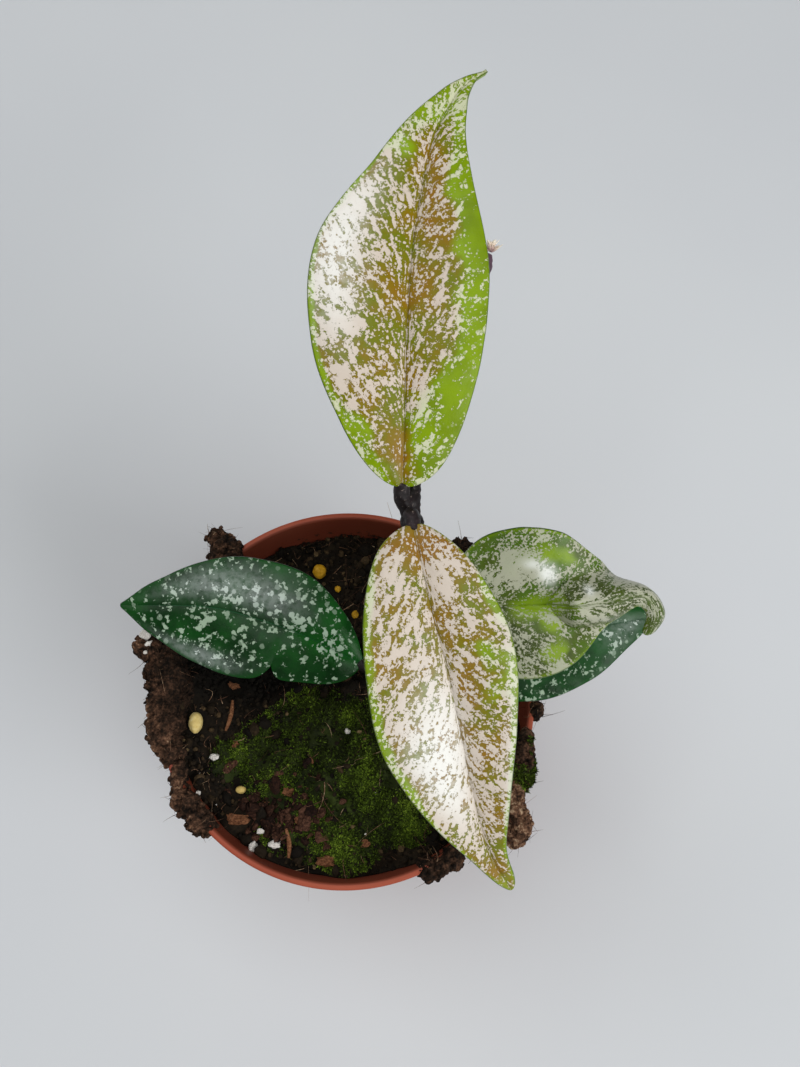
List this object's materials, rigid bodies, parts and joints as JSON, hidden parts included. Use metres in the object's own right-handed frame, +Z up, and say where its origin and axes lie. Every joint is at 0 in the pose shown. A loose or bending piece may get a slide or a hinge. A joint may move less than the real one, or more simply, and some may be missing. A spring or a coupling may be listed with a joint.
{
  "type": "potted stardust hoya carnosa",
  "caption": "Young hoya vine with thick silver-speckled leaves on a leaning stem, growing in a tapered terracotta-coloured nursery pot of mossy peat that stands on its flat base.",
  "frame": {"origin": "middle of the pot's flat underside", "axes": "+Z up, +Y towards the back where the vine's tip leans, +X to the right seen from the front"},
  "size_m": [0.1457, 0.1823, 0.1893],
  "materials": {
    "pot_plastic": "moulded terracotta-coloured polypropylene, satin",
    "peat": "moist dark peat with fibres",
    "moss": "short dense moss",
    "spilled_peat": "drier fibrous brown peat",
    "stem_skin": "dark purple-brown skin with pale specks",
    "young_leaf": "soft cream and pink leaflets",
    "pale_leaf": "waxy, pinkish silver splashes on olive and green",
    "green_leaf": "waxy, silver-green splashes on fresh green",
    "dark_leaf": "waxy, pale spots on deep green",
    "yellow_prill": "coated fertiliser grain, satin",
    "cream_prill": "coated fertiliser grain, satin",
    "perlite": "expanded white grain, matte",
    "bark": "dry bark and needles, matte"
  },
  "bodies": {
    "root": {"pot": "pot_plastic", "soil": "peat", "moss_mat": "moss", "moss_patch_right": "moss", "moss_patch_left": "moss", "peat_clump_left": "spilled_peat", "peat_clump_front_left": "spilled_peat", "peat_clump_back_left": "spilled_peat", "peat_clump_hanging": "spilled_peat", "peat_clump_front_right": "spilled_peat", "peat_crumb_front": "spilled_peat", "peat_crumb_right": "spilled_peat", "peat_crumb_back": "spilled_peat", "stem": "stem_skin", "growing_tip": "young_leaf", "leaf_upper": "pale_leaf", "leaf_lower": "pale_leaf", "leaf_curled": "green_leaf", "leaf_dark_left": "dark_leaf", "leaf_dark_right": "dark_leaf", "yellow_prill_1": "yellow_prill", "yellow_prill_2": "yellow_prill", "yellow_prill_3": "yellow_prill", "cream_prill_1": "cream_prill", "cream_prill_2": "cream_prill", "perlite_1": "perlite", "perlite_2": "perlite", "perlite_3": "perlite", "perlite_4": "perlite", "perlite_5": "perlite", "perlite_6": "perlite", "bark_chip_1": "bark", "bark_chip_2": "bark", "bark_chip_3": "bark", "bark_chip_4": "bark", "bark_chip_5": "bark", "bark_chip_6": "bark", "needle_left": "bark", "needle_front": "bark"}
  },
  "joints": []
}
